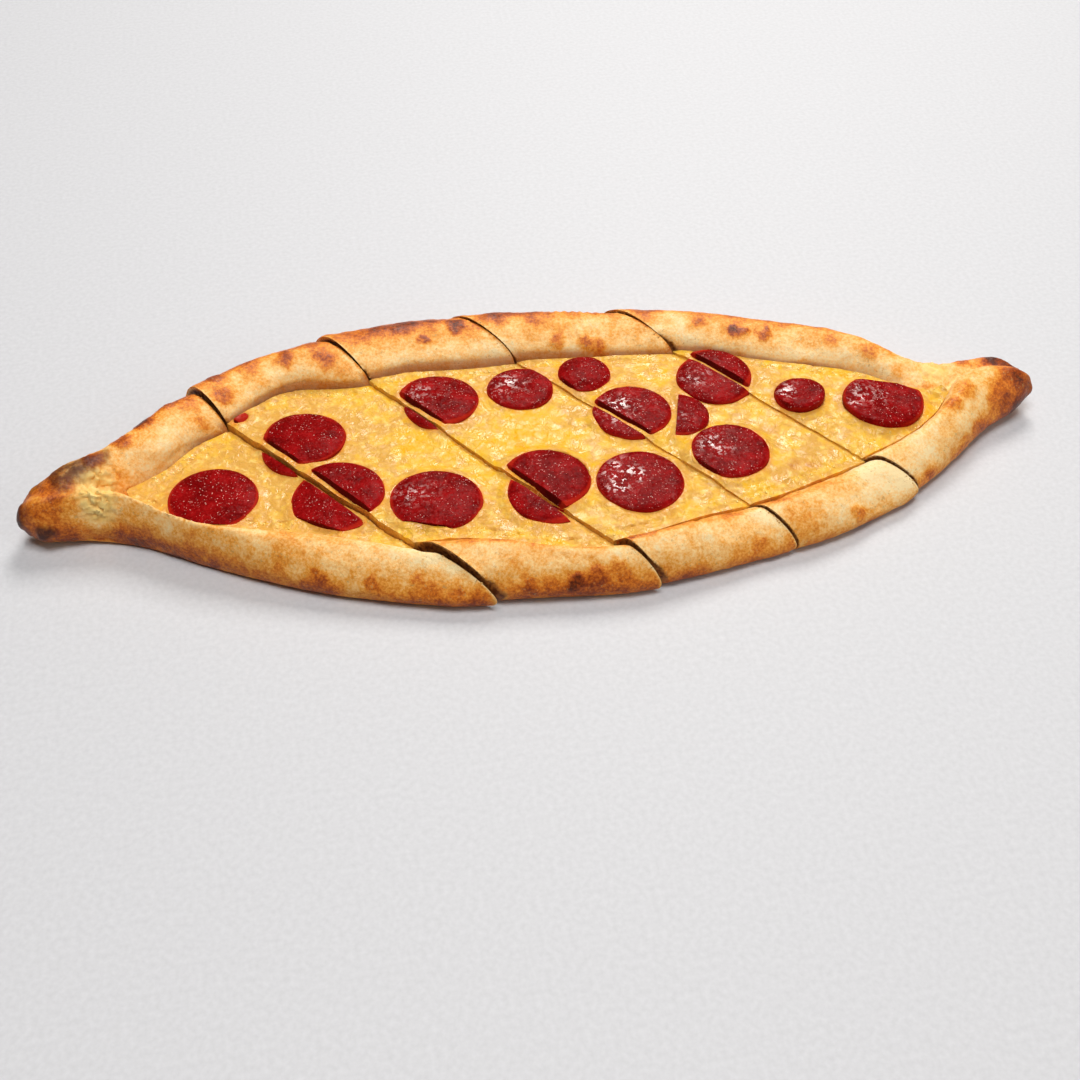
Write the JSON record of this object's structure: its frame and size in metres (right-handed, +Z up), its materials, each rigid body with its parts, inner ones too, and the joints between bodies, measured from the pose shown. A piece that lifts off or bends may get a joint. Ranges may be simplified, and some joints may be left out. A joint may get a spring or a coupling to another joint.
{
  "type": "turkish pide",
  "caption": "Boat-shaped flatbread with rolled rims and pinched ends, filled with melted cheese and round slices of sausage, cut crosswise into slices that lie together.",
  "frame": {"origin": "centre of the plan's bounding box at the surface it lies on", "axes": "+X along the boat towards its right end, +Y to its rear rim, +Z up"},
  "size_m": [0.4142, 0.1596, 0.0249],
  "materials": {
    "dough": "matt baked crust, golden with browned spots",
    "cheese": "melted, slightly glossy",
    "sausage": "oily, slightly glossy, with fine flecks of fat"
  },
  "bodies": {
    "root": {"cheese_1": "cheese", "cheese_2": "cheese", "cheese_3": "cheese", "cheese_4": "cheese", "cheese_5": "cheese", "dough_1": "dough", "dough_2": "dough", "dough_3": "dough", "dough_4": "dough", "dough_5": "dough", "sausage_a": "sausage", "sausage_b_left": "sausage", "sausage_b_right": "sausage", "sausage_c_left": "sausage", "sausage_c_right": "sausage", "sausage_d": "sausage", "sausage_e_left": "sausage", "sausage_e_right": "sausage", "sausage_f_left": "sausage", "sausage_f_right": "sausage", "sausage_g_left": "sausage", "sausage_g_right": "sausage", "sausage_h": "sausage", "sausage_i_left": "sausage", "sausage_i_right": "sausage", "sausage_j_left": "sausage", "sausage_j_right": "sausage", "sausage_k": "sausage", "sausage_l": "sausage", "sausage_m": "sausage", "sausage_n": "sausage", "sausage_o": "sausage", "sausage_p": "sausage"}
  },
  "joints": []
}
